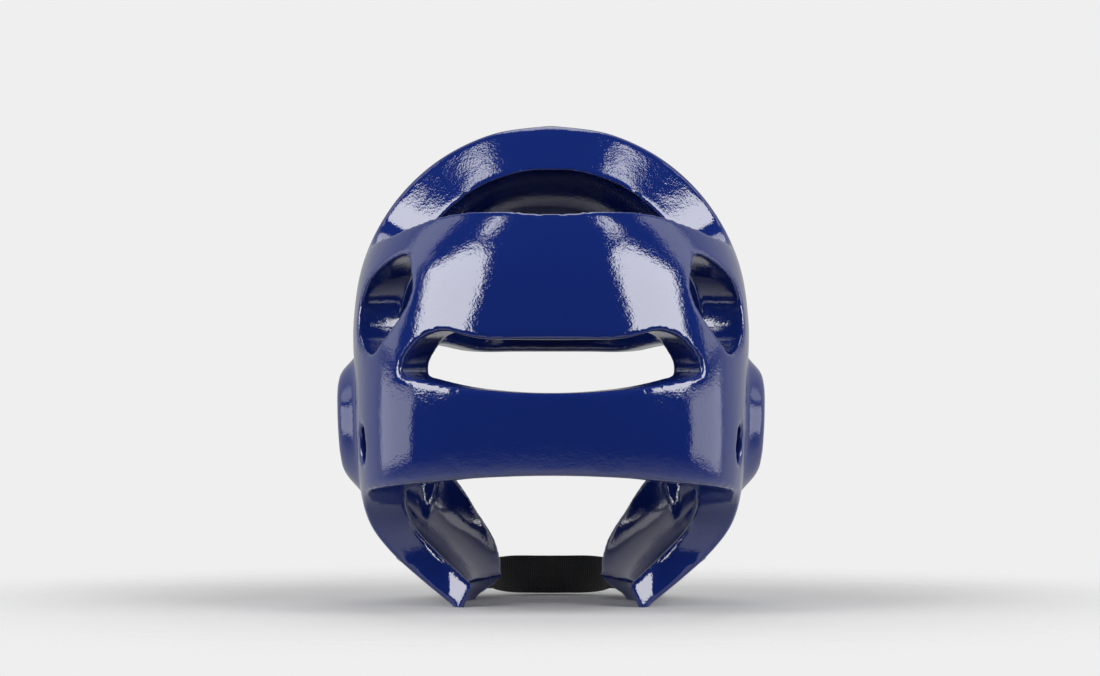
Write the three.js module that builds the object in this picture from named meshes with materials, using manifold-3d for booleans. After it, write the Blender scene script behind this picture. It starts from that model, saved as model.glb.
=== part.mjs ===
// A head guard of dipped foam for a martial art, with an elastic chin strap. Millimetres, +Z up, the wearer
// faces -Y. It stands upright on the lower edges of its two cheek guards at z = 0.
import * as THREE from "three";
import Module from "manifold-3d";

// Overall sizes of the shell
const WIDTH = 220;
const FRONT_REACH = 115;
const BACK_REACH = 135;
const HEIGHT = 268;
const WALL = 25;
// The plane of the widest point, between the front half and the back half
const WIDEST_Y = -10;
// Squareness of the front half in plan: 2 is an ellipse
const FRONT_SQUARE = 2.25;

// Raised panel over each ear
const PANEL_RISE = 11.5;
const PANEL_Y = -36;
const PANEL_HEIGHT = 105;
const PANEL_HALF_LENGTH = 44;
const PANEL_UPWARDS = 38;
const PANEL_DOWNWARDS = 50;
const PANEL_SHOULDER = 0.42;
// The panels fade out where the form turns to the front and to the back: limits on how far it faces
// sideways
const SIDE_FADE_START = 0.2;
const SIDE_FADE_END = 0.6;

// Openings: bearings are degrees from straight behind, or from straight ahead for the face
const FACE_HALF_ANGLE = 52;
const FACE_MIDDLE = 74.5;
const FACE_HALF_HEIGHT = 72;
const SLOT_HALF_ANGLE = 38.5;
const SLOT_MIDDLE = 136.5;
const SLOT_HALF_HEIGHT = 16.5;
const WINDOW_BEARING = 53.2;
const WINDOW_HALF_ANGLE = 15;
const WINDOW_MIDDLE = 167.5;
const WINDOW_HALF_HEIGHT = 26.5;
const VENT_BEARING = 58;
const VENT_HALF_ANGLE = 4;
const VENT_MIDDLE = 91.5;
const VENT_HALF_HEIGHT = 10.5;
const EAR_RECESS = { y: -42, z: 70, halfLength: 27, halfHeight: 28 };
const EAR_HOLE = { y: -34, z: 94, halfLength: 12, halfHeight: 17 };
// The recess starts to narrow this far inside the wall's inner face, and has narrowed to the hole's size this
// far inside the panel's outer face
const EAR_NARROWING_START = 12.5;
const EAR_NARROWING_END = 8.8;

// The crown opening lies behind a rim whose face leans outwards, as on a cone; the lean is the cone's
// length for each millimetre of its radius
const CROWN_BACK_HEIGHT = 217.5;
const CROWN_SIDE_HEIGHT = 202;
const CROWN_CORNER_ANGLE = 60;
const RIM_LEAN = 0.72;

// The lower edge of the nape band, and the bearing of the cheek guards' rear edges from straight behind
const NAPE_HEIGHT = 76;
const GUARD_BACK_ANGLE = 77.5;
// The width of the flat that each cheek guard stands on
const FOOT_WIDTH = 5;

// Chin strap and the two pads that its ends are fastened to
const STRAP_WIDTH = 22;
const STRAP_THICK = 2;
const STRAP_HEIGHT = 11.6;
const STRAP_BOW = 3.5;
const PAD_WIDTH = 26;
const PAD_THICK = 1.5;
const CLEARANCE = 0.5;

// Fineness of the faceted surfaces
const OUTER_COLUMNS = 56;
const OUTER_ROWS = 28;
const INNER_COLUMNS = 40;
const INNER_ROWS = 20;
const OUTLINE_POINTS = 36;
const FACE_POINTS = 64;
const VENT_POINTS = 12;
const EAR_POINTS = 18;
const RADIAL_STEPS = 6;
const CROWN_POINTS = 52;
const CROWN_RIM_STEPS = 14;
// The crown cutter's rings, as shares of the way from the tip of its cone to the outer form
const CROWN_RINGS = [0.35, 0.7, 0.8, 0.9, 1, 1.1, 2.2];
// The step, in sections and in radians, over which a form's normal is measured
const NORMAL_STEP = 0.02;
// The last ring of each radial cutter lies this many times as far out as the ring before it
const FAR_OUT = 3;

// Horizontal sections of the outer form: up is a share of HEIGHT, across of half the WIDTH, back and front
// of the two reaches, and wall of WALL; square is the squareness of the back half
const SECTIONS = [
  { up: 0.0, across: 0.5, back: 0.66, front: 0.68, wall: 0.62, square: 2.3 },
  { up: 0.022, across: 0.565, back: 0.7, front: 0.77, wall: 0.66, square: 2.3 },
  { up: 0.06, across: 0.675, back: 0.75, front: 0.86, wall: 0.7, square: 2.4 },
  { up: 0.112, across: 0.81, back: 0.82, front: 0.93, wall: 0.76, square: 2.6 },
  { up: 0.172, across: 0.915, back: 0.89, front: 0.965, wall: 0.88, square: 2.9 },
  { up: 0.246, across: 0.962, back: 0.95, front: 0.985, wall: 1, square: 3.3 },
  { up: 0.343, across: 0.98, back: 0.985, front: 1, wall: 1, square: 3.4 },
  { up: 0.466, across: 0.99, back: 1, front: 1, wall: 1, square: 3.1 },
  { up: 0.59, across: 1, back: 0.99, front: 1, wall: 1, square: 2.6 },
  { up: 0.716, across: 0.951, back: 0.94, front: 0.965, wall: 1, square: 2.3 },
  { up: 0.831, across: 0.809, back: 0.81, front: 0.84, wall: 0.98, square: 2.15 },
  { up: 0.922, across: 0.588, back: 0.588, front: 0.62, wall: 0.94, square: 2.1 },
  { up: 0.98, across: 0.309, back: 0.309, front: 0.33, wall: 0.92, square: 2 },
  { up: 1.0, across: 0.0, back: 0.0, front: 0.0, wall: 0.92, square: 2 },
];

// Outlines of openings, as shares of each one's half angle and half height
const FACE_OUTLINE = [
  { around: 0, up: 0.92 },
  { around: 0.24, up: 0.92 },
  { around: 0.44, up: 0.92 },
  { around: 0.6, up: 0.965 },
  { around: 0.74, up: 0.985 },
  { around: 0.87, up: 0.93 },
  { around: 0.96, up: 0.8 },
  { around: 1, up: 0.58 },
  { around: 0.97, up: 0.38 },
  { around: 0.89, up: 0.2 },
  { around: 0.77, up: 0.04 },
  { around: 0.61, up: -0.14 },
  { around: 0.47, up: -0.38 },
  { around: 0.385, up: -0.55 },
  { around: 0.365, up: -0.68 },
  { around: 0.38, up: -0.79 },
  { around: 0.42, up: -0.87 },
  { around: 0.49, up: -0.925 },
  { around: 0.6, up: -0.975 },
  { around: 0.73, up: -1.03 },
  { around: 0.76, up: -1.3 },
  { around: 0.3, up: -1.45 },
  { around: 0, up: -1.45 },
];
const SLOT_OUTLINE = [
  { around: 0, up: 0.72 },
  { around: 0.25, up: 0.73 },
  { around: 0.46, up: 0.76 },
  { around: 0.57, up: 0.88 },
  { around: 0.7, up: 1 },
  { around: 0.83, up: 0.84 },
  { around: 0.94, up: 0.36 },
  { around: 1, up: -0.22 },
  { around: 0.97, up: -0.44 },
  { around: 0.87, up: -0.54 },
  { around: 0.56, up: -0.82 },
  { around: 0.26, up: -0.96 },
  { around: 0, up: -1 },
];
const WINDOW_OUTLINE = [
  { around: -0.6, up: 1 },
  { around: -0.8, up: 0.76 },
  { around: -0.93, up: 0.48 },
  { around: -0.99, up: 0.24 },
  { around: -0.9, up: -0.08 },
  { around: -0.7, up: -0.42 },
  { around: -0.42, up: -0.77 },
  { around: -0.14, up: -1 },
  { around: 0.24, up: -0.95 },
  { around: 0.76, up: -0.68 },
  { around: 1, up: -0.23 },
  { around: 0.98, up: 0.12 },
  { around: 0.74, up: 0.45 },
  { around: 0.2, up: 0.76 },
  { around: -0.3, up: 0.96 },
];

// The crown opening's back edge: bearing in degrees from straight behind, drop is a share of the height
// that the edge loses from its middle to its sides
const CROWN_EDGE = [
  { bearing: 80, drop: 1 },
  { bearing: 68, drop: 0.9 },
  { bearing: 58, drop: 0.74 },
  { bearing: 45.5, drop: 0.39 },
  { bearing: 31, drop: 0.03 },
  { bearing: 17, drop: -0.05 },
  { bearing: 0, drop: 0.05 },
];

// The cut under the nape and behind the cheek guards: around is a share of the bearing of the guards' rear
// edges, up of the nape's height
const NAPE_CUT = [
  { around: 0, up: 1 },
  { around: 0.23, up: 0.985 },
  { around: 0.43, up: 0.945 },
  { around: 0.64, up: 0.895 },
  { around: 0.8, up: 0.845 },
  { around: 0.91, up: 0.76 },
  { around: 0.97, up: 0.64 },
  { around: 0.995, up: 0.5 },
  { around: 1, up: 0.37 },
  { around: 0.985, up: 0.22 },
  { around: 0.95, up: 0.08 },
  { around: 0.92, up: -0.06 },
  { around: 0.88, up: -0.3 },
  { around: 0.4, up: -0.34 },
  { around: 0, up: -0.34 },
];

// The strap's middle line on the cheek guards: bearing in degrees from straight ahead, up is a share of
// HEIGHT
const STRAP_ROUTE = [
  { bearing: 20, up: 0.05 },
  { bearing: 27, up: 0.05 },
  { bearing: 36, up: 0.056 },
  { bearing: 44, up: 0.068 },
  { bearing: 53, up: 0.09 },
  { bearing: 61, up: 0.122 },
];
const STRAP_GAP_STEPS = 6;
const STRAP_GUARD_STEPS = 24;
// The share of each strap side, from the gap to its end, where its pad starts, and the steps in which the
// strap climbs onto it
const PAD_START = 0.72;
const PAD_CLIMB_STEPS = 3;

const wasm = await Module();
wasm.setup();

const halfWidth = WIDTH / 2;
const radians = THREE.MathUtils.degToRad;
const HALF_TURN = 180;
// The least size that a section may shrink to at the top of the head
const LEAST_REACH = 1e-6;
// How near a search by halving comes to the place or angle that it looks for
const SEARCH_WIDTH = 1e-4;

// Reads a table at a place between its rows, on a smooth curve through every column.
function tableReader(table, columns) {
  const places = table.map((_, index) => index);
  const values = table.flatMap((row) => columns.map((column) => row[column]));
  const curve = new THREE.CubicInterpolant(places, values, columns.length);
  return (place) => {
    const result = curve.evaluate(place);
    return Object.fromEntries(columns.map((column, index) => [column, result[index]]));
  };
}

const sectionAt = tableReader(SECTIONS, ["up", "across", "back", "front", "wall", "square"]);
const lastSection = SECTIONS.length - 1;

// How far the ear panel stands out of the side at a place on it.
function panelRise(y, z) {
  const vertical = z > PANEL_HEIGHT ? PANEL_UPWARDS : PANEL_DOWNWARDS;
  const distance = Math.hypot((y - PANEL_Y) / PANEL_HALF_LENGTH, (z - PANEL_HEIGHT) / vertical);
  return PANEL_RISE * THREE.MathUtils.smoothstep(1 - distance, 0, PANEL_SHOULDER);
}

// The plain outer form, without the ear panels: place runs through the sections, angle runs round from +X.
function plainForm(place, angle) {
  const section = sectionAt(Math.min(place, lastSection));
  const cosine = Math.cos(angle);
  const sine = Math.sin(angle);
  const reach = sine > 0 ? section.back * BACK_REACH : section.front * FRONT_REACH;
  const square = sine > 0 ? section.square : FRONT_SQUARE;
  const across = Math.max(section.across * halfWidth, LEAST_REACH);
  const along = Math.max(reach, LEAST_REACH);
  const sum = (Math.abs(cosine) / across) ** square + (Math.abs(sine) / along) ** square;
  const radius = sum ** (-1 / square);
  return new THREE.Vector3(radius * cosine, WIDEST_Y + radius * sine, section.up * HEIGHT);
}

function outerForm(place, angle) {
  const point = plainForm(place, angle);
  const side = THREE.MathUtils.smoothstep(Math.abs(Math.cos(angle)), SIDE_FADE_START, SIDE_FADE_END);
  point.x += Math.sign(point.x) * side * panelRise(point.y, point.z);
  return point;
}

// The unit normal of a form, pointing out.
function normalOf(form, place, angle) {
  const middle = Math.min(Math.max(place, NORMAL_STEP), lastSection - NORMAL_STEP);
  const upwards = form(middle + NORMAL_STEP, angle).sub(form(middle - NORMAL_STEP, angle));
  const around = form(middle, angle + NORMAL_STEP).sub(form(middle, angle - NORMAL_STEP));
  return around.cross(upwards).normalize();
}

// The inner form lies one wall inside the plain outer form.
function innerForm(place, angle) {
  const wall = sectionAt(place).wall * WALL;
  return plainForm(place, angle).addScaledVector(normalOf(plainForm, place, angle), -wall);
}

// A closed solid of points and triangles, with its faces turned outwards.
function solidOf(points, triangles) {
  let volume = 0;
  for (const [a, b, c] of triangles) {
    volume += points[a].dot(new THREE.Vector3().crossVectors(points[b], points[c]));
  }
  const turned = volume < 0 ? triangles.map(([a, b, c]) => [a, c, b]) : triangles;
  const mesh = new wasm.Mesh({
    numProp: 3,
    vertProperties: new Float32Array(points.flatMap((point) => point.toArray())),
    triVerts: new Uint32Array(turned.flat()),
  });
  return new wasm.Manifold(mesh);
}

// A closed solid through rings of points, each ring with as many points, with a flat or pointed cap at each
// end.
function loft(rings) {
  const count = rings[0].length;
  const points = rings.flat();
  const triangles = [];
  for (let ring = 0; ring < rings.length - 1; ring += 1) {
    for (let index = 0; index < count; index += 1) {
      const next = (index + 1) % count;
      const [a, b] = [ring * count + index, ring * count + next];
      triangles.push([a, b, b + count], [a, b + count, a + count]);
    }
  }
  for (const [ring, turned] of [[0, true], [rings.length - 1, false]]) {
    const middle = rings[ring].reduce((sum, point) => sum.add(point), new THREE.Vector3());
    points.push(middle.divideScalar(count));
    for (let index = 0; index < count; index += 1) {
      const [a, b] = [ring * count + index, ring * count + ((index + 1) % count)];
      triangles.push(turned ? [points.length - 1, b, a] : [points.length - 1, a, b]);
    }
  }
  return solidOf(points, triangles);
}

// One ring of points round a form.
function formRing(form, place, columns) {
  return Array.from({ length: columns }, (_, column) => form(place, (2 * Math.PI * column) / columns));
}

// Rings up a form, from its foot to just short of its top, which a small cap closes.
function formRings(form, rows, columns) {
  return Array.from({ length: rows }, (_, row) => formRing(form, (lastSection * row) / rows, columns));
}

function outerSolid() {
  return loft(formRings(outerForm, OUTER_ROWS, OUTER_COLUMNS));
}

// The hollow widens below the inner form, so that only a narrow flat foot is left of each cheek guard.
function hollowSolid() {
  const rings = formRings(innerForm, INNER_ROWS, INNER_COLUMNS);
  const foot = formRing(plainForm, 0, INNER_COLUMNS).map((point, column) => {
    const outwards = point.clone().setY(point.y - WIDEST_Y);
    return point.addScaledVector(outwards.normalize(), -FOOT_WIDTH);
  });
  const below = foot.map((point) => point.clone().setZ(-WALL));
  return loft([below, foot, ...rings]);
}

// A smooth closed curve through points, read at even steps.
function smoothLoop(points, count) {
  return new THREE.CatmullRomCurve3(points, true, "centripetal").getSpacedPoints(count).slice(1);
}

// An outline that is the same on both sides, from the half that its table gives.
function mirrored(table) {
  const other = table.slice(1, -1).map((row) => ({ ...row, around: -row.around }));
  return [...table, ...other.reverse()];
}

// A cutter that runs out from the upright axis of the shell, through an outline given round it and upwards.
function radialCutter({ outline, bearing, halfAngle, middle, halfHeight, ahead = false, count }) {
  const loop = smoothLoop(
    outline.map((row) => new THREE.Vector3(row.around * halfAngle, row.up * halfHeight, 0)),
    count ?? OUTLINE_POINTS,
  );
  const forwards = ahead ? -1 : 1;
  const inside = halfWidth - 2 * WALL;
  const outside = BACK_REACH + WALL;
  const radii = Array.from({ length: RADIAL_STEPS + 1 }, (_, step) =>
    THREE.MathUtils.lerp(inside, outside, step / RADIAL_STEPS),
  );
  const ringAt = (radius) =>
    loop.map(({ x, y }) => {
      const angle = radians(bearing + x);
      return new THREE.Vector3(
        radius * Math.sin(angle),
        forwards * radius * Math.cos(angle),
        middle + y,
      );
    });
  return loft([...radii, FAR_OUT * outside].map(ringAt));
}

function faceCutter() {
  return radialCutter({
    outline: mirrored(FACE_OUTLINE),
    bearing: 0,
    halfAngle: FACE_HALF_ANGLE,
    middle: FACE_MIDDLE,
    halfHeight: FACE_HALF_HEIGHT,
    ahead: true,
    count: FACE_POINTS,
  });
}

function napeCutter() {
  return radialCutter({
    outline: mirrored(NAPE_CUT),
    bearing: 0,
    halfAngle: GUARD_BACK_ANGLE,
    middle: 0,
    halfHeight: NAPE_HEIGHT,
    count: FACE_POINTS,
  });
}

function slotCutter() {
  return radialCutter({
    outline: mirrored(SLOT_OUTLINE),
    bearing: 0,
    halfAngle: SLOT_HALF_ANGLE,
    middle: SLOT_MIDDLE,
    halfHeight: SLOT_HALF_HEIGHT,
  });
}

function windowCutter(side) {
  return radialCutter({
    outline: WINDOW_OUTLINE.map((row) => ({ ...row, around: side * row.around })),
    bearing: side * WINDOW_BEARING,
    halfAngle: WINDOW_HALF_ANGLE,
    middle: WINDOW_MIDDLE,
    halfHeight: WINDOW_HALF_HEIGHT,
  });
}

function ventCutter(side) {
  const oval = Array.from({ length: VENT_POINTS }, (_, index) => (2 * Math.PI * index) / VENT_POINTS);
  return radialCutter({
    outline: oval.map((angle) => ({ around: Math.cos(angle), up: Math.sin(angle) })),
    bearing: side * VENT_BEARING,
    halfAngle: VENT_HALF_ANGLE,
    middle: VENT_MIDDLE,
    halfHeight: VENT_HALF_HEIGHT,
  });
}

// The ear hole narrows from a recess on the inside to a small oval on the outside.
function earCutter(side) {
  const ovalAt = ({ y, z, halfLength, halfHeight }, x) =>
    Array.from({ length: EAR_POINTS }, (_, index) => {
      const angle = (2 * Math.PI * index) / EAR_POINTS;
      return new THREE.Vector3(
        side * x,
        y + halfLength * Math.cos(angle),
        z + halfHeight * Math.sin(angle),
      );
    });
  const innerX = halfWidth - WALL;
  const outerX = halfWidth + PANEL_RISE;
  return loft([
    ovalAt(EAR_RECESS, WALL),
    ovalAt(EAR_RECESS, innerX - EAR_NARROWING_START),
    ovalAt(EAR_HOLE, outerX - EAR_NARROWING_END),
    ovalAt(EAR_HOLE, outerX + WALL),
  ]);
}

// The crown opening: a rim over the top of the head in front, and the top edge of the upper rear band
// behind.
function crownCutter() {
  const domeMiddle = HEIGHT - halfWidth;
  const tip = new THREE.Vector3(0, halfWidth * RIM_LEAN, domeMiddle);
  const rim = [];
  for (let step = 0; step <= CROWN_RIM_STEPS; step += 1) {
    const angle = radians(CROWN_CORNER_ANGLE) * (1 - (2 * step) / CROWN_RIM_STEPS);
    rim.push(
      new THREE.Vector3(-halfWidth * Math.sin(angle), 0, domeMiddle + halfWidth * Math.cos(angle)),
    );
  }
  const fall = CROWN_BACK_HEIGHT - CROWN_SIDE_HEIGHT;
  const edge = CROWN_EDGE.map(
    (row) => spotOnForm(HALF_TURN - row.bearing, CROWN_BACK_HEIGHT - row.drop * fall).point,
  );
  const otherEdge = edge
    .slice(0, -1)
    .reverse()
    .map((point) => new THREE.Vector3(-point.x, point.y, point.z));
  const loop = smoothLoop([...rim, ...edge, ...otherEdge], CROWN_POINTS);
  const ringAt = (share) => loop.map((point) => tip.clone().lerp(point, share));
  return loft(CROWN_RINGS.map(ringAt));
}

function shellSolid() {
  const cutters = [
    hollowSolid(),
    faceCutter(),
    slotCutter(),
    crownCutter(),
    napeCutter(),
    ...[-1, 1].flatMap((side) => [windowCutter(side), ventCutter(side), earCutter(side)]),
  ];
  return cutters.reduce((solid, cutter) => solid.subtract(cutter), outerSolid());
}

// The place on the outer form at a bearing from straight ahead and a height, with its normal.
function spotOnForm(bearing, height) {
  const direction = radians(bearing);
  let low = 0;
  let high = lastSection;
  while (high - low > SEARCH_WIDTH) {
    const place = (low + high) / 2;
    if (sectionAt(place).up * HEIGHT < height) {
      low = place;
    } else {
      high = place;
    }
  }
  // The bearing is seen from the axis of the openings, so the angle round the form is found by halving too
  let least = -Math.PI / 2;
  let most = Math.PI / 2;
  while (most - least > SEARCH_WIDTH) {
    const angle = (least + most) / 2;
    const point = outerForm(low, angle);
    if (Math.atan2(point.x, -point.y) < direction) {
      least = angle;
    } else {
      most = angle;
    }
  }
  return { point: outerForm(low, least), normal: normalOf(outerForm, low, least) };
}

// The strap's middle line from the middle of the chin to the end on the +X side, as spots with normals.
function strapSide() {
  const bearingCurve = tableReader(STRAP_ROUTE, ["bearing", "up"]);
  const spots = [];
  for (let step = 0; step <= STRAP_GUARD_STEPS; step += 1) {
    const row = bearingCurve(((STRAP_ROUTE.length - 1) * step) / STRAP_GUARD_STEPS);
    spots.push(spotOnForm(row.bearing, row.up * HEIGHT));
  }
  const gap = [];
  const [edge] = spots;
  const straightAhead = new THREE.Vector3(0, -1, 0);
  for (let step = 0; step < STRAP_GAP_STEPS; step += 1) {
    const share = step / STRAP_GAP_STEPS;
    gap.push({
      point: new THREE.Vector3(
        share * edge.point.x,
        edge.point.y - STRAP_BOW * (1 - share ** 2),
        THREE.MathUtils.lerp(STRAP_HEIGHT, edge.point.z, share ** 2),
      ),
      normal: straightAhead.clone().lerp(edge.normal, share ** 2).normalize(),
    });
  }
  const side = [...gap, ...spots];
  return side.map(({ point, normal }, index) => {
    const before = side[Math.max(index - 1, 0)].point;
    const after = side[Math.min(index + 1, side.length - 1)].point;
    const along = after.clone().sub(before).normalize();
    return { point, normal, up: new THREE.Vector3().crossVectors(along, normal).normalize() };
  });
}

function mirroredSpot(spot) {
  const mirror = new THREE.Vector3(-1, 1, 1);
  const entries = Object.entries(spot).map(([name, vector]) => [name, vector.clone().multiply(mirror)]);
  return Object.fromEntries(entries);
}

// A flat band along spots, lifted off the form by a height that may change along it.
function band(spots, width, thick, liftAt) {
  const rings = spots.map(({ point, normal, up }, index) => {
    const lift = liftAt(index);
    return [[-1, 0], [0, 0], [1, 0], [1, 1], [0, 1], [-1, 1]].map(([side, layer]) =>
      point
        .clone()
        .addScaledVector(up, (side * width) / 2)
        .addScaledVector(normal, lift + layer * thick),
    );
  });
  return loft(rings);
}

const strapSpots = strapSide();
const padFirst = Math.round(strapSpots.length * PAD_START);

function strapSolid() {
  const left = strapSpots.slice(1).map(mirroredSpot).reverse();
  const spots = [...left, ...strapSpots];
  const middle = strapSpots.length - 1;
  const onPad = PAD_THICK + 2 * CLEARANCE;
  return band(spots, STRAP_WIDTH, STRAP_THICK, (index) => {
    const fromMiddle = Math.abs(index - middle);
    const climb = THREE.MathUtils.smoothstep(fromMiddle, padFirst - PAD_CLIMB_STEPS, padFirst - 1);
    return THREE.MathUtils.lerp(CLEARANCE, onPad, climb);
  });
}

function padSolid(side) {
  const spots = strapSpots.slice(padFirst);
  const placed = side > 0 ? spots : spots.map(mirroredSpot).reverse();
  return band(placed, PAD_WIDTH, PAD_THICK, () => CLEARANCE);
}

// The drawable mesh of a solid.
function meshOf(name, solid, material) {
  const { numProp, vertProperties, triVerts } = solid.getMesh();
  const geometry = new THREE.BufferGeometry();
  const positions = new Float32Array((vertProperties.length / numProp) * 3);
  for (let vertex = 0; vertex * numProp < vertProperties.length; vertex += 1) {
    positions.set(vertProperties.subarray(vertex * numProp, vertex * numProp + 3), vertex * 3);
  }
  geometry.setAttribute("position", new THREE.BufferAttribute(positions, 3));
  geometry.setIndex(new THREE.BufferAttribute(triVerts, 1));
  geometry.computeVertexNormals();
  const mesh = new THREE.Mesh(geometry, material);
  mesh.name = name;
  return mesh;
}

const dippedFoam = new THREE.MeshStandardMaterial({ color: 0x1a2e79, roughness: 0.15, metalness: 0 });
const elastic = new THREE.MeshStandardMaterial({ color: 0x1a1a18, roughness: 0.9, metalness: 0 });
const hookPad = new THREE.MeshStandardMaterial({ color: 0x141414, roughness: 0.8, metalness: 0 });

const headGuard = new THREE.Group();
headGuard.add(meshOf("shell", shellSolid(), dippedFoam));
headGuard.add(meshOf("chin_strap", strapSolid(), elastic));
headGuard.add(meshOf("strap_fixing_left", padSolid(1), hookPad));
headGuard.add(meshOf("strap_fixing_right", padSolid(-1), hookPad));

export default headGuard;
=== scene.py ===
"""A head guard of dipped foam with an elastic chin strap, seen from behind in soft studio light."""
import math

import bpy
import numpy as np
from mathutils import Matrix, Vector


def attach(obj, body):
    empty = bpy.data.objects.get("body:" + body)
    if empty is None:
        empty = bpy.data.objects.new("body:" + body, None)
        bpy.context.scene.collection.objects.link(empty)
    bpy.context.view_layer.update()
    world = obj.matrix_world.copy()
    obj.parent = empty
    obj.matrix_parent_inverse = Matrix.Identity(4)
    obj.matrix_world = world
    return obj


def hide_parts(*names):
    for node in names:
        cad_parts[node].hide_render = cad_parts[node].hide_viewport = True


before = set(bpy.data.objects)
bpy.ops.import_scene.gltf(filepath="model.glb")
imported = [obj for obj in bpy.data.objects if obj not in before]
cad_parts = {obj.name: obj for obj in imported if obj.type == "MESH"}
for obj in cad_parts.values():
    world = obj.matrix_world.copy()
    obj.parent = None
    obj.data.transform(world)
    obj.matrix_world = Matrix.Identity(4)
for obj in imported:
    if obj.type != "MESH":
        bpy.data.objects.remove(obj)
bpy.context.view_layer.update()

# The shell is one moulding of closed-cell foam, 25 mm thick, with a dome over the front of the head, an upper
# and a lower band round the back, and a guard over each cheek. It was dipped in blue vinyl, which rounds
# every rim and leaves a glossy skin with a fine orange peel. All tables here are in millimetres.
MM = 0.001
WIDTH = 220
FRONT_REACH = 115
BACK_REACH = 135
HEIGHT = 268
WALL = 25
WIDEST_Y = -10
FRONT_SQUARE = 2.25
FOOT_WIDTH = 5
SECTIONS = np.array([
    # up, across, back, front, wall, square
    (0.0, 0.5, 0.66, 0.68, 0.62, 2.3),
    (0.022, 0.565, 0.7, 0.77, 0.66, 2.3),
    (0.06, 0.675, 0.75, 0.86, 0.7, 2.4),
    (0.112, 0.81, 0.82, 0.93, 0.76, 2.6),
    (0.172, 0.915, 0.89, 0.965, 0.88, 2.9),
    (0.246, 0.962, 0.95, 0.985, 1, 3.3),
    (0.343, 0.98, 0.985, 1, 1, 3.4),
    (0.466, 0.99, 1, 1, 1, 3.1),
    (0.59, 1, 0.99, 1, 1, 2.6),
    (0.716, 0.951, 0.94, 0.965, 1, 2.3),
    (0.831, 0.809, 0.81, 0.84, 0.98, 2.15),
    (0.922, 0.588, 0.588, 0.62, 0.94, 2.1),
    (0.98, 0.309, 0.309, 0.33, 0.92, 2),
    (1.0, 0.0, 0.0, 0.0, 0.92, 2),
])
LAST_SECTION = len(SECTIONS) - 1
LEAST_REACH = 1e-6


def read_table(table, place):
    """Every column of a table at places between its rows, on a smooth curve through the rows."""
    rows = np.vstack([2 * table[0] - table[1], table, 2 * table[-1] - table[-2]])
    place = np.asarray(place, float)
    index = np.clip(np.floor(place).astype(int), 0, len(table) - 2)
    share = (place - index)[..., None]
    before, start, end, after = (rows[index + step] for step in range(4))
    cubic = 3 * (start - end) + after - before
    square = 2 * before - 5 * start + 4 * end - after
    return start + share / 2 * (end - before + share * (square + share * cubic))


def smooth_step(value, low, high):
    share = np.clip((value - low) / (high - low), 0, 1)
    return share * share * (3 - 2 * share)


def plain_form(place, angle):
    """Points of the outer form without the ear panels: place counts the sections, angle turns from +X."""
    up, across, back, front, _, square = np.moveaxis(read_table(SECTIONS, place), -1, 0)
    cosine = np.cos(angle)
    sine = np.sin(angle)
    reach = np.where(sine > 0, back * BACK_REACH, front * FRONT_REACH)
    power = np.where(sine > 0, square, FRONT_SQUARE)
    across = np.maximum(across * WIDTH / 2, LEAST_REACH)
    along = np.maximum(reach, LEAST_REACH)
    radius = ((abs(cosine) / across) ** power + (abs(sine) / along) ** power) ** (-1 / power)
    return np.stack([radius * cosine, WIDEST_Y + radius * sine, up * HEIGHT], axis=-1)


PANEL_RISE = 11.5
PANEL_Y = -36
PANEL_HEIGHT = 105
PANEL_HALF_LENGTH = 44
PANEL_UPWARDS = 38
PANEL_DOWNWARDS = 50
PANEL_SHOULDER = 0.42
SIDE_FADE = (0.2, 0.6)


def outer_form(place, angle):
    """Points of the outer form with the raised panel over each ear."""
    points = plain_form(place, angle)
    vertical = np.where(points[..., 2] > PANEL_HEIGHT, PANEL_UPWARDS, PANEL_DOWNWARDS)
    distance = np.hypot(
        (points[..., 1] - PANEL_Y) / PANEL_HALF_LENGTH, (points[..., 2] - PANEL_HEIGHT) / vertical
    )
    rise = PANEL_RISE * smooth_step(1 - distance, 0, PANEL_SHOULDER)
    side = smooth_step(abs(np.cos(angle)), *SIDE_FADE)
    points[..., 0] += np.sign(points[..., 0]) * side * rise
    return points


NORMAL_STEP = 0.02


def normal_of(form, place, angle):
    """Unit normals of a form, pointing out."""
    middle = np.clip(place, NORMAL_STEP, LAST_SECTION - NORMAL_STEP)
    upwards = form(middle + NORMAL_STEP, angle) - form(middle - NORMAL_STEP, angle)
    around = form(middle, angle + NORMAL_STEP) - form(middle, angle - NORMAL_STEP)
    normal = np.cross(around, upwards)
    return normal / np.linalg.norm(normal, axis=-1, keepdims=True)


def inner_form(place, angle):
    """Points of the hollow, one wall inside the plain outer form."""
    wall = read_table(SECTIONS, place)[..., 4:5] * WALL
    return plain_form(place, angle) - wall * normal_of(plain_form, place, angle)


def ball_of_rings(name, rings):
    """A ball whose rings of vertices are moved to the given ones, from the lowest ring to the highest."""
    rows, columns = rings.shape[:2]
    bpy.ops.object.select_all(action="DESELECT")
    bpy.ops.mesh.primitive_uv_sphere_add(segments=columns, ring_count=rows + 1, radius=1)
    ball = bpy.context.object
    ball.name = name
    spots = np.array([vertex.co for vertex in ball.data.vertices])
    row = np.rint((rows + 1) * (1 - np.arccos(np.clip(spots[:, 2], -1, 1)) / math.pi)).astype(int)
    column = np.rint(columns * np.arctan2(spots[:, 1], spots[:, 0]) / math.tau).astype(int) % columns
    ends = [np.repeat(ring.mean(axis=0)[None, None], columns, axis=1) for ring in (rings[0], rings[-1])]
    placed = np.concatenate([ends[0], rings, ends[1]])[row, column] * MM
    ball.data.vertices.foreach_set("co", placed.astype(np.float32).ravel())
    bpy.ops.object.mode_set(mode="EDIT")
    bpy.ops.mesh.select_all(action="SELECT")
    bpy.ops.mesh.normals_make_consistent(inside=False)
    bpy.ops.object.mode_set(mode="OBJECT")
    return ball


def turn(columns):
    return math.tau * np.arange(columns) / columns


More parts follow.
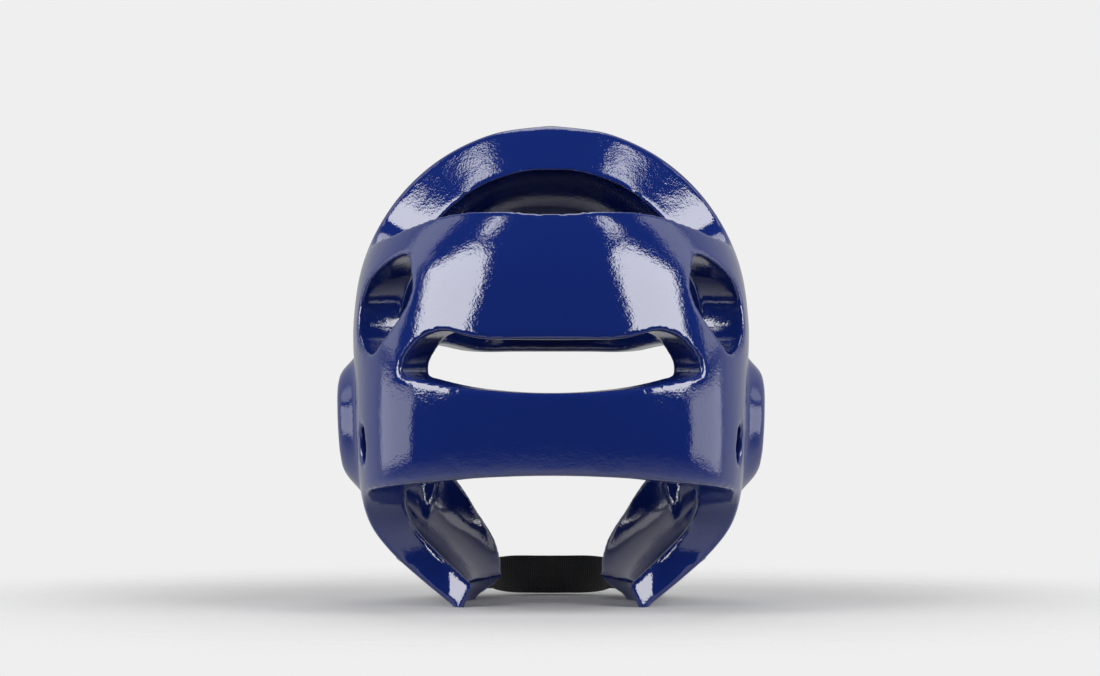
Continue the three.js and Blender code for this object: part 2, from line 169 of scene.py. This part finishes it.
# The outer form runs a little below the floor, so that the rounding of its rims leaves flat feet
FORM_ROWS = 120
FORM_COLUMNS = 192
FOOT_SPARE = 4
TOP_GAP = 0.05
rows = np.linspace(0, LAST_SECTION - TOP_GAP, FORM_ROWS)
places, angles = np.meshgrid(rows, turn(FORM_COLUMNS), indexing="ij")
rings = outer_form(places, angles)
rings = np.concatenate([rings[:1] - (0, 0, FOOT_SPARE), rings])
shell = ball_of_rings("shell_dipped", rings)

# The hollow, which widens at the feet
foot = plain_form(np.zeros(FORM_COLUMNS), turn(FORM_COLUMNS))
outwards = foot - (0, WIDEST_Y, 0)
foot -= FOOT_WIDTH * outwards / np.linalg.norm(outwards, axis=-1, keepdims=True)
rings = np.concatenate([foot[None] - (0, 0, WALL), foot[None], inner_form(places, angles)])
cutters = [ball_of_rings("hollow", rings)]


CURVE_STEPS = 16


def smooth_loop(points, count):
    """Points at even steps on a smooth closed curve through the given ones."""
    points = np.asarray(points, float)
    fine = []
    for index in range(len(points)):
        before, start, end, after = (points[(index + step) % len(points)] for step in (-1, 0, 1, 2))
        gaps = [math.sqrt(np.linalg.norm(b - a)) for a, b in ((before, start), (start, end), (end, after))]
        leave = (start - before) / gaps[0] - (end - before) / (gaps[0] + gaps[1]) + (end - start) / gaps[1]
        arrive = (end - start) / gaps[1] - (after - start) / (gaps[1] + gaps[2]) + (after - end) / gaps[2]
        leave *= gaps[1]
        arrive *= gaps[1]
        for share in np.arange(CURVE_STEPS) / CURVE_STEPS:
            fine.append(
                start + share * leave + share ** 2 * (3 * (end - start) - 2 * leave - arrive)
                + share ** 3 * (2 * (start - end) + leave + arrive)
            )
    fine = np.array(fine + fine[:1])
    lengths = np.concatenate([[0], np.cumsum(np.linalg.norm(np.diff(fine, axis=0), axis=1))])
    steps = np.arange(count) / count * lengths[-1]
    return np.stack([np.interp(steps, lengths, fine[:, axis]) for axis in range(fine.shape[1])], axis=-1)


def mirrored(outline):
    """A whole outline, from the half that its table gives."""
    return outline + [(-around, up) for around, up in outline[-2:0:-1]]


CUT_RADII = (60, 76, 93, 110, 127, 143, 160, 480)


def radial_cutter(name, outline, bearing, half_angle, middle, half_height, ahead=False, count=128):
    """A cutter from the upright axis outwards, through an outline of shares round it and upwards."""
    loop = smooth_loop(np.array(outline) * (half_angle, half_height), count)
    angle = np.radians(bearing + loop[:, 0])
    forwards = -1 if ahead else 1
    ring = np.stack([np.sin(angle), forwards * np.cos(angle), np.zeros(count)], axis=-1)
    heights = np.stack([np.zeros(count), np.zeros(count), middle + loop[:, 1]], axis=-1)
    cutters.append(ball_of_rings(name, np.array([radius * ring + heights for radius in CUT_RADII])))


# The face opening and the gap between the cheek guards
FACE = [
    # around, up
    (0, 0.92), (0.24, 0.92), (0.44, 0.92), (0.6, 0.965), (0.74, 0.985), (0.87, 0.93), (0.96, 0.8), (1, 0.58),
    (0.97, 0.38), (0.89, 0.2), (0.77, 0.04), (0.61, -0.14), (0.47, -0.38), (0.385, -0.55), (0.365, -0.68),
    (0.38, -0.79), (0.42, -0.87), (0.49, -0.925), (0.6, -0.975), (0.73, -1.03), (0.76, -1.3), (0.3, -1.45),
    (0, -1.45),
]
FACE_HALF_ANGLE = 52
FACE_MIDDLE = 74.5
FACE_HALF_HEIGHT = 72
LONG_COUNT = 192
radial_cutter(
    "face_cutter", mirrored(FACE), 0, FACE_HALF_ANGLE, FACE_MIDDLE, FACE_HALF_HEIGHT,
    ahead=True, count=LONG_COUNT,
)

# The lower edge of the nape band and the rear edges of the cheek guards
NAPE = [
    # around, up
    (0, 1), (0.23, 0.985), (0.43, 0.945), (0.64, 0.895), (0.8, 0.845), (0.91, 0.76), (0.97, 0.64),
    (0.995, 0.5), (1, 0.37), (0.985, 0.22), (0.95, 0.08), (0.92, -0.06), (0.88, -0.3), (0.4, -0.34),
    (0, -0.34),
]
GUARD_BACK_ANGLE = 77.5
NAPE_HEIGHT = 76
radial_cutter("nape_cutter", mirrored(NAPE), 0, GUARD_BACK_ANGLE, 0, NAPE_HEIGHT, count=LONG_COUNT)

# The long slot between the two rear bands
SLOT = [
    # around, up
    (0, 0.72), (0.25, 0.73), (0.46, 0.76), (0.57, 0.88), (0.7, 1), (0.83, 0.84), (0.94, 0.36), (1, -0.22),
    (0.97, -0.44), (0.87, -0.54), (0.56, -0.82), (0.26, -0.96), (0, -1),
]
SLOT_HALF_ANGLE = 38.5
SLOT_MIDDLE = 136.5
SLOT_HALF_HEIGHT = 16.5
radial_cutter("slot_cutter", mirrored(SLOT), 0, SLOT_HALF_ANGLE, SLOT_MIDDLE, SLOT_HALF_HEIGHT)

# On each side a kite-shaped window, a small vent in the nape and a hole over the ear
WINDOW = [
    # around, up
    (-0.6, 1), (-0.8, 0.76), (-0.93, 0.48), (-0.99, 0.24), (-0.9, -0.08), (-0.7, -0.42), (-0.42, -0.77),
    (-0.14, -1), (0.24, -0.95), (0.76, -0.68), (1, -0.23), (0.98, 0.12), (0.74, 0.45), (0.2, 0.76),
    (-0.3, 0.96),
]
VENT = [(math.cos(angle), math.sin(angle)) for angle in turn(12)]
EAR_OVALS = [
    # x, y, z, half length, half height
    (25, -42, 70, 27, 28),
    (72.5, -42, 70, 27, 28),
    (112.7, -34, 94, 12, 17),
    (146, -34, 94, 12, 17),
]
WINDOW_BEARING = 53.2
WINDOW_HALF_ANGLE = 15
WINDOW_MIDDLE = 167.5
WINDOW_HALF_HEIGHT = 26.5
VENT_BEARING = 58
VENT_HALF_ANGLE = 4
VENT_MIDDLE = 91.5
VENT_HALF_HEIGHT = 10.5
VENT_COUNT = 48
EAR_COLUMNS = 64
ear_turn = turn(EAR_COLUMNS)
for side in (-1, 1):
    window = [(side * around, up) for around, up in WINDOW]
    radial_cutter(
        f"window_cutter{side}", window, side * WINDOW_BEARING, WINDOW_HALF_ANGLE,
        WINDOW_MIDDLE, WINDOW_HALF_HEIGHT,
    )
    radial_cutter(
        f"vent_cutter{side}", VENT, side * VENT_BEARING, VENT_HALF_ANGLE, VENT_MIDDLE, VENT_HALF_HEIGHT,
        count=VENT_COUNT,
    )
    ovals = [
        (np.full(EAR_COLUMNS, side * x), y + length * np.cos(ear_turn), z + height * np.sin(ear_turn))
        for x, y, z, length, height in EAR_OVALS
    ]
    cutters.append(ball_of_rings(f"ear_cutter{side}", np.moveaxis(np.array(ovals), 1, -1)))


SEARCH_STEPS = 20


def spot_on_form(bearing, height):
    """The place and angle of a point on the outer form. Its bearing is from straight ahead."""
    low, high = 0, LAST_SECTION
    for _ in range(SEARCH_STEPS):
        middle = (low + high) / 2
        if read_table(SECTIONS, middle)[0] * HEIGHT < height:
            low = middle
        else:
            high = middle
    least, most = -math.pi / 2, math.pi / 2
    for _ in range(SEARCH_STEPS):
        middle = (least + most) / 2
        point = outer_form(low, middle)
        if math.atan2(point[0], -point[1]) < math.radians(bearing):
            least = middle
        else:
            most = middle
    return low, least


# The crown opening, behind a rim whose face leans outwards
CROWN_BACK_HEIGHT = 217.5
CROWN_SIDE_HEIGHT = 202
RIM_LEAN = 0.72
RIM_HALF_TURN = 60
RIM_SPOTS = 15
CROWN_EDGE = [(80, 1), (68, 0.9), (58, 0.74), (45.5, 0.39), (31, 0.03), (17, -0.05), (0, 0.05)]
dome_middle = HEIGHT - WIDTH / 2
tip = np.array([0, WIDTH / 2 * RIM_LEAN, dome_middle])
rim_angles = np.radians(np.linspace(RIM_HALF_TURN, -RIM_HALF_TURN, RIM_SPOTS))
rim = [(-WIDTH / 2 * math.sin(a), 0, dome_middle + WIDTH / 2 * math.cos(a)) for a in rim_angles]
edge = []
for bearing, drop in CROWN_EDGE:
    spot = spot_on_form(180 - bearing, CROWN_BACK_HEIGHT - drop * (CROWN_BACK_HEIGHT - CROWN_SIDE_HEIGHT))
    edge.append(tuple(outer_form(*spot)))
other_edge = [(-x, y, z) for x, y, z in edge[-2::-1]]
loop = smooth_loop(rim + edge + other_edge, LONG_COUNT)
CROWN_RINGS = (0.35, 0.7, 0.8, 0.9, 1, 1.1, 2.2)
cutters.append(ball_of_rings("crown_cutter", np.array([tip + share * (loop - tip) for share in CROWN_RINGS])))


def apply_modifier(piece, kind, **settings):
    bpy.ops.object.select_all(action="DESELECT")
    piece.select_set(True)
    bpy.context.view_layer.objects.active = piece
    modifier = piece.modifiers.new(kind.lower(), kind)
    for name, value in settings.items():
        setattr(modifier, name, value)
    bpy.ops.object.modifier_apply(modifier=modifier.name)


for cutter in cutters:
    apply_modifier(shell, "BOOLEAN", operation="DIFFERENCE", solver="MANIFOLD", object=cutter)
for cutter in cutters:
    bpy.data.objects.remove(cutter)

# The dip rounds the rims, and the feet stand flat. A share of the fine faces is kept, most at the rims
VOXEL = 1.2
ROUNDING = 22
KEPT_SHARE = 0.34
apply_modifier(shell, "REMESH", mode="VOXEL", voxel_size=VOXEL * MM, use_smooth_shade=True)
apply_modifier(shell, "SMOOTH", factor=0.5, iterations=ROUNDING)
apply_modifier(shell, "DECIMATE", ratio=KEPT_SHARE)
bpy.ops.object.mode_set(mode="EDIT")
bpy.ops.mesh.select_all(action="SELECT")
bpy.ops.mesh.bisect(plane_co=(0, 0, 0), plane_no=(0, 0, 1), use_fill=True, clear_inner=True)
bpy.ops.object.mode_set(mode="OBJECT")
bpy.ops.object.shade_smooth()


class Socket:
    """A shader socket that takes part in sums."""

    def __init__(self, tree, socket):
        self.tree = tree
        self.socket = socket

    def join(self, operation, *terms):
        node = self.tree.nodes.new("ShaderNodeMath")
        node.operation = operation
        for place, term in zip(node.inputs, terms):
            if isinstance(term, Socket):
                self.tree.links.new(term.socket, place)
            else:
                place.default_value = term
        return Socket(self.tree, node.outputs[0])

    def __add__(self, other):
        return self.join("ADD", self, other)

    def __rsub__(self, other):
        return self.join("SUBTRACT", other, self)

    def __mul__(self, other):
        return self.join("MULTIPLY", self, other)

    def sine(self):
        return self.join("SINE", self)

    __radd__ = __add__
    __rmul__ = __mul__


class Finish:
    """A material whose nodes are added one at a time."""

    def __init__(self, name, **surface):
        self.material = bpy.data.materials.new(name)
        self.material.use_nodes = True
        self.tree = self.material.node_tree
        self.shader = self.tree.nodes["Principled BSDF"]
        for socket, value in surface.items():
            self.shader.inputs[socket.replace("_", " ")].default_value = value

    def node(self, kind, output=0, settings=None, **inputs):
        node = self.tree.nodes.new(kind)
        for name, value in (settings or {}).items():
            setattr(node, name, value)
        for name, value in inputs.items():
            self.link(node.inputs[name.replace("_", " ")], value)
        return Socket(self.tree, node.outputs[output])

    def link(self, place, value):
        if isinstance(value, Socket):
            self.tree.links.new(value.socket, place)
        else:
            place.default_value = value

    def drive(self, **inputs):
        for name, value in inputs.items():
            self.link(self.shader.inputs[name.replace("_", " ")], value)

    def cover(self, piece):
        piece.data.materials.clear()
        piece.data.materials.append(self.material)


# The blue dip: a saturated skin with a clear gloss, faintly uneven in tone where it lies thicker
DIP_BLUE = (0.0066, 0.0195, 0.142, 1)
DIP_DEEP_BLUE = (0.0053, 0.016, 0.122, 1)
LEAST_ROUGHNESS = 0.03
ROUGHNESS_SPREAD = 0.05
PEEL_SHARE = 0.5
WAVE_SHARE = 1.4
PEEL_DEPTH = 0.00015
dip = Finish("blue_dip", Specular_IOR_Level=1)
place = dip.node("ShaderNodeTexCoord", output="Object")
cloud = dip.node("ShaderNodeTexNoise", Vector=place, Scale=14, Detail=3)
tone = dip.node(
    "ShaderNodeMix", output="Result", settings={"data_type": "RGBA"},
    Factor=cloud, A=DIP_BLUE, B=DIP_DEEP_BLUE,
)
peel = dip.node("ShaderNodeTexNoise", Vector=place, Scale=800, Detail=2)
waves = dip.node("ShaderNodeTexNoise", Vector=place, Scale=95, Detail=2)
height = PEEL_SHARE * peel + WAVE_SHARE * waves
relief = dip.node("ShaderNodeBump", output="Normal", Strength=1, Distance=PEEL_DEPTH, Height=height)
dip.drive(Base_Color=tone, Roughness=LEAST_ROUGHNESS + ROUGHNESS_SPREAD * cloud, Normal=relief)
dip.cover(shell)
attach(shell, "root")
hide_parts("shell")

# The chin strap is a black woven elastic, 22 mm wide, that runs round the front under the chin. Each end is
# fastened to the outside of a cheek guard, where it lies over its pad.
STRAP_WIDTH = 22
STRAP_THICK = 2
STRAP_HEIGHT = 11.6
STRAP_BOW = 3.5
PAD_WIDTH = 26
PAD_THICK = 1.5
CLEARANCE = 0.5
STRAP_ROUTE = np.array([(20, 0.05), (27, 0.05), (36, 0.056), (44, 0.068), (53, 0.09), (61, 0.122)])
GAP_STEPS = 6
GUARD_STEPS = 24
PAD_START = 0.72
PAD_CLIMB_STEPS = 3
spots = []
for bearing, up in read_table(STRAP_ROUTE, np.linspace(0, len(STRAP_ROUTE) - 1, GUARD_STEPS + 1)):
    spot = spot_on_form(bearing, up * HEIGHT)
    spots.append((outer_form(*spot), normal_of(outer_form, *spot)))
edge_point, edge_normal = spots[0]
gap = []
for share in np.arange(GAP_STEPS) / GAP_STEPS:
    bow = STRAP_BOW * (1 - share ** 2)
    height_here = STRAP_HEIGHT + share ** 2 * (edge_point[2] - STRAP_HEIGHT)
    point = np.array([share * edge_point[0], edge_point[1] - bow, height_here])
    normal = np.array([0, -1, 0]) * (1 - share ** 2) + edge_normal * share ** 2
    gap.append((point, normal / np.linalg.norm(normal)))
line = np.array([point for point, _ in gap + spots])
normals = np.array([normal for _, normal in gap + spots])
steps = np.gradient(line, axis=0)
ups = np.cross(steps, normals)
ups /= np.linalg.norm(ups, axis=-1, keepdims=True)
places_along = np.arange(len(line))
lengths_along = np.concatenate([[0], np.cumsum(np.linalg.norm(np.diff(line, axis=0), axis=1))])


def band_between(name, first, last, width, lift_at, columns, rows):
    """A flat sheet along the strap's line, between two places on it. Those on the -X side are negative."""
    bpy.ops.object.select_all(action="DESELECT")
    bpy.ops.mesh.primitive_grid_add(x_subdivisions=columns, y_subdivisions=rows, size=2)
    sheet = bpy.context.object
    sheet.name = name
    flat = np.array([vertex.co for vertex in sheet.data.vertices])
    start, end = np.sign([first, last]) * np.interp(np.abs([first, last]), places_along, lengths_along)
    along = start + (flat[:, 0] + 1) / 2 * (end - start)
    place = np.interp(abs(along), lengths_along, places_along)
    point = read_table(line, place)
    normal = read_table(normals, place)
    up = read_table(ups, place)
    point += up * flat[:, 1:2] * width / 2 + normal * lift_at(place)[:, None]
    point[:, 0] *= np.where(along < 0, -1, 1)
    sheet.data.vertices.foreach_set("co", (point * MM).astype(np.float32).ravel())
    return sheet


last_spot = len(line) - 1
pad_first = round(len(line) * PAD_START)


def strap_lift(place):
    climb = smooth_step(place, pad_first - PAD_CLIMB_STEPS, pad_first - 1)
    return CLEARANCE + climb * (PAD_THICK + CLEARANCE) + STRAP_THICK / 2


# The cloth pieces stay this much narrower and thinner than their sizes
WIDTH_TRIM = 0.4
THICK_TRIM = 0.2
STRAP_ROUND = 0.5
SMOOTH_ANGLE = math.radians(40)
STRAP_GRID = (360, 12)
strap = band_between(
    "strap_webbing", -last_spot, last_spot, STRAP_WIDTH - WIDTH_TRIM, strap_lift, *STRAP_GRID
)
apply_modifier(strap, "SOLIDIFY", thickness=(STRAP_THICK - THICK_TRIM) * MM, offset=0)
apply_modifier(strap, "BEVEL", width=STRAP_ROUND * MM, segments=3, limit_method="ANGLE")
bpy.ops.object.shade_smooth_by_angle(angle=SMOOTH_ANGLE)

# Woven elastic: close ribs across the strap, and fine warp threads along it
STRAP_LENGTH = 2 * lengths_along[-1]
RIB_PITCH = 1.1
THREAD_PITCH = 0.9
WEAVE_DEPTH = 0.0002
# The elastic's black, darker for the painted shade in the grooves and paler for the lit crests of ribs and
# threads
ELASTIC_BLACK_IN_GROOVE_SHADE = (0.03, 0.03, 0.027, 1)
ELASTIC_BLACK_ON_LIT_CRESTS = (0.1, 0.1, 0.09, 1)
elastic = Finish("black_elastic", Sheen_Weight=0.15)
weave = elastic.node("ShaderNodeUVMap")
separate = elastic.tree.nodes.new("ShaderNodeSeparateXYZ")
elastic.tree.links.new(weave.socket, separate.inputs[0])
along = Socket(elastic.tree, separate.outputs[0])
across = Socket(elastic.tree, separate.outputs[1])
rib_turns = STRAP_LENGTH / RIB_PITCH
thread_turns = STRAP_WIDTH / THREAD_PITCH
ribs = (along * (rib_turns * math.tau)).sine()
threads = (across * (thread_turns * math.tau)).sine()
cloth_height = 0.6 * ribs + 0.4 * threads
place = elastic.node("ShaderNodeTexCoord", output="Object")
fuzz = elastic.node("ShaderNodeTexNoise", Vector=place, Scale=900, Detail=3)
relief = elastic.node(
    "ShaderNodeBump", output="Normal", Strength=0.8, Distance=WEAVE_DEPTH, Height=cloth_height + 0.8 * fuzz
)
# Painted shade: the colour is darker wherever the weave's relief is low, in the grooves, and paler on the
# crests
tone = elastic.node(
    "ShaderNodeMix", output="Result", settings={"data_type": "RGBA"},
    Factor=0.35 * ribs + 0.15 * threads + 0.3 * fuzz + 0.25,
    A=ELASTIC_BLACK_IN_GROOVE_SHADE, B=ELASTIC_BLACK_ON_LIT_CRESTS,
)
elastic.drive(Base_Color=tone, Normal=relief, Roughness=0.95 - 0.2 * fuzz)
elastic.cover(strap)
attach(strap, "root")
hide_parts("chin_strap")

# Each pad is a thin rectangle of hook tape, fixed flat on a cheek guard under the strap's end
# The hook tops show the tape's own black; the much darker gaps between them are painted shade
TAPE_TOP = (0.02, 0.02, 0.02, 1)
TAPE_BLACK_IN_GAP_SHADE = (0.004, 0.004, 0.004, 1)
TAPE_DEPTH = 0.0004
hooks = Finish("hook_tape", Roughness=0.75)
place = hooks.node("ShaderNodeTexCoord", output="Object")
pile = hooks.node("ShaderNodeTexVoronoi", output="Distance", Vector=place, Scale=850)
relief = hooks.node(
    "ShaderNodeBump", output="Normal", Strength=0.9, Distance=TAPE_DEPTH, Height=1 - pile
)
# Painted shade: the colour is darker in the gaps between the hooks, where the relief is low
tone = hooks.node(
    "ShaderNodeMix", output="Result", settings={"data_type": "RGBA"}, Factor=pile,
    A=TAPE_TOP, B=TAPE_BLACK_IN_GAP_SHADE,
)
hooks.drive(Base_Color=tone, Normal=relief)
PAD_ROUND = 0.4
PAD_GRID = (48, 20)
for name, side in (("left", 1), ("right", -1)):
    pad = band_between(
        f"hook_pad_{name}", side * pad_first, side * last_spot, PAD_WIDTH - WIDTH_TRIM,
        lambda place: np.full(len(place), CLEARANCE + PAD_THICK / 2), *PAD_GRID,
    )
    apply_modifier(pad, "SOLIDIFY", thickness=(PAD_THICK - THICK_TRIM) * MM, offset=0)
    bpy.ops.object.mode_set(mode="EDIT")
    bpy.ops.mesh.select_all(action="SELECT")
    bpy.ops.mesh.normals_make_consistent(inside=False)
    bpy.ops.object.mode_set(mode="OBJECT")
    apply_modifier(pad, "BEVEL", width=PAD_ROUND * MM, segments=3, limit_method="ANGLE")
    bpy.ops.object.shade_smooth_by_angle(angle=SMOOTH_ANGLE)
    hooks.cover(pad)
    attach(pad, "root")
    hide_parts(f"strap_fixing_{name}")

# The floor is a plain pale table top that melts into the pale room
FLOOR_RADIUS = 0.8
FLOOR_GREY = (0.6, 0.6, 0.6, 1)
FADE_START = 0.15
FADE_END = 0.45
bpy.ops.object.select_all(action="DESELECT")
bpy.ops.mesh.primitive_circle_add(vertices=96, radius=FLOOR_RADIUS, fill_type="NGON", location=(0, 0, 0))
floor = bpy.context.object
floor.name = "floor"
table_top = Finish("pale_table", Roughness=0.9, Specular_IOR_Level=0.1, Base_Color=FLOOR_GREY)
place = table_top.node("ShaderNodeTexCoord", output="Object")
distance = table_top.tree.nodes.new("ShaderNodeVectorMath")
distance.operation = "LENGTH"
table_top.tree.links.new(place.socket, distance.inputs[0])
reach = Socket(table_top.tree, distance.outputs["Value"])
fade = table_top.node(
    "ShaderNodeMapRange", settings={"interpolation_type": "SMOOTHSTEP"}, Value=reach,
    From_Min=FADE_START, From_Max=FADE_END, To_Min=1, To_Max=0,
)
table_top.drive(Alpha=fade)
table_top.cover(floor)

# The camera sees a pale room. The gloss sees a dimmer one, dark behind the camera, so that only the cards
# show in it there
ROOM = 0.863
DARK = 0.01
SHEEN = 0.45
DARK_EDGE = -0.1
SHEEN_EDGE = -0.6
world = bpy.data.worlds.new("room")
world.use_nodes = True
bpy.context.scene.world = world
nodes, links = world.node_tree.nodes, world.node_tree.links
nodes["Background"].inputs["Color"].default_value = (1, 1, 1, 1)
bearings = nodes.new("ShaderNodeTexCoord")
parts = nodes.new("ShaderNodeSeparateXYZ")
links.new(bearings.outputs["Generated"], parts.inputs[0])
pale = nodes.new("ShaderNodeMapRange")
pale.interpolation_type = "SMOOTHSTEP"
levels = {"From Min": DARK_EDGE, "From Max": SHEEN_EDGE, "To Min": DARK, "To Max": SHEEN}
for name, value in levels.items():
    pale.inputs[name].default_value = value
links.new(parts.outputs["Y"], pale.inputs["Value"])
path = nodes.new("ShaderNodeLightPath")
choice = nodes.new("ShaderNodeMapRange")
choice.inputs["To Max"].default_value = ROOM
links.new(path.outputs["Is Camera Ray"], choice.inputs["Value"])
links.new(pale.outputs[0], choice.inputs["To Min"])
links.new(choice.outputs[0], nodes["Background"].inputs["Strength"])


BLACK = (0, 0, 0, 1)
WHITE = (1, 1, 1, 1)
CARD_DISTANCE = 1.8
CARD_MIDDLE_HEIGHT = 0.16


def light_card(name, corners, radiance):
    """A flat glowing card. Each corner is a bearing, from straight behind towards +X, and an elevation."""
    bearings, elevations = np.radians(np.array(corners, float)).T
    level = np.cos(elevations)
    ways = np.stack([np.sin(bearings) * level, np.cos(bearings) * level, np.sin(elevations)], axis=-1)
    middle = ways.mean(axis=0)
    middle /= np.linalg.norm(middle)
    spots = ways / (ways @ middle)[:, None] * CARD_DISTANCE + (0, 0, CARD_MIDDLE_HEIGHT)
    bpy.ops.object.select_all(action="DESELECT")
    bpy.ops.mesh.primitive_circle_add(vertices=len(corners), radius=1, fill_type="NGON")
    card = bpy.context.object
    card.name = name
    card.data.vertices.foreach_set("co", spots.astype(np.float32).ravel())
    card.visible_camera = False
    glow = Finish(f"{name}_glow", Base_Color=BLACK, Emission_Color=WHITE, Emission_Strength=radiance)
    glow.cover(card)


# On each side a main card stands beside the camera with a small one over it, and two dim ones stand further
# round. One more hangs overhead
MAIN_CORNERS = [(33, 5), (34, 32), (41, 46), (56, 47), (84, 31), (78, 21), (72, 14), (65, 6)]
HIGH_CORNERS = [(46, 52), (46, 64), (59, 64), (59, 52)]
LOW_CORNERS = [(67, -14), (67, 5), (112, 5), (112, -14)]
SIDE_CORNERS = [(94, 10), (90, 54), (114, 54), (116, 10)]
CARDS = [
    # name, corners, radiance
    ("main", MAIN_CORNERS, 6.5),
    ("high", HIGH_CORNERS, 5),
    ("low", LOW_CORNERS, 1.7),
    ("side", SIDE_CORNERS, 1.1),
]
for hand, side in (("left", 1), ("right", -1)):
    for name, corners, radiance in CARDS:
        light_card(f"{name}_card_{hand}", [(side * bearing, up) for bearing, up in corners], radiance)
OVERHEAD_CORNERS = [(180, 40), (150, 58), (90, 82), (-90, 82), (-150, 58)]
OVERHEAD_RADIANCE = 2.4
light_card("overhead_card", OVERHEAD_CORNERS, OVERHEAD_RADIANCE)

# The camera stands straight behind the guard, a little above its middle
CAMERA_PLACE = (0, 2.4999, 0.1563)
CAMERA_AIM = (0.0006, 0, 0.149)
CAMERA_LENS = 146.7
SENSOR_WIDTH = 36
bpy.ops.object.camera_add(location=CAMERA_PLACE)
camera = bpy.context.object
aim = Vector(CAMERA_AIM) - camera.location
camera.rotation_euler = aim.to_track_quat("-Z", "Y").to_euler()
camera.data.lens = CAMERA_LENS
camera.data.sensor_width = SENSOR_WIDTH
camera.data.sensor_fit = "HORIZONTAL"
bpy.context.scene.camera = camera
bpy.context.scene.view_settings.view_transform = "Standard"

bpy.context.view_layer.update()
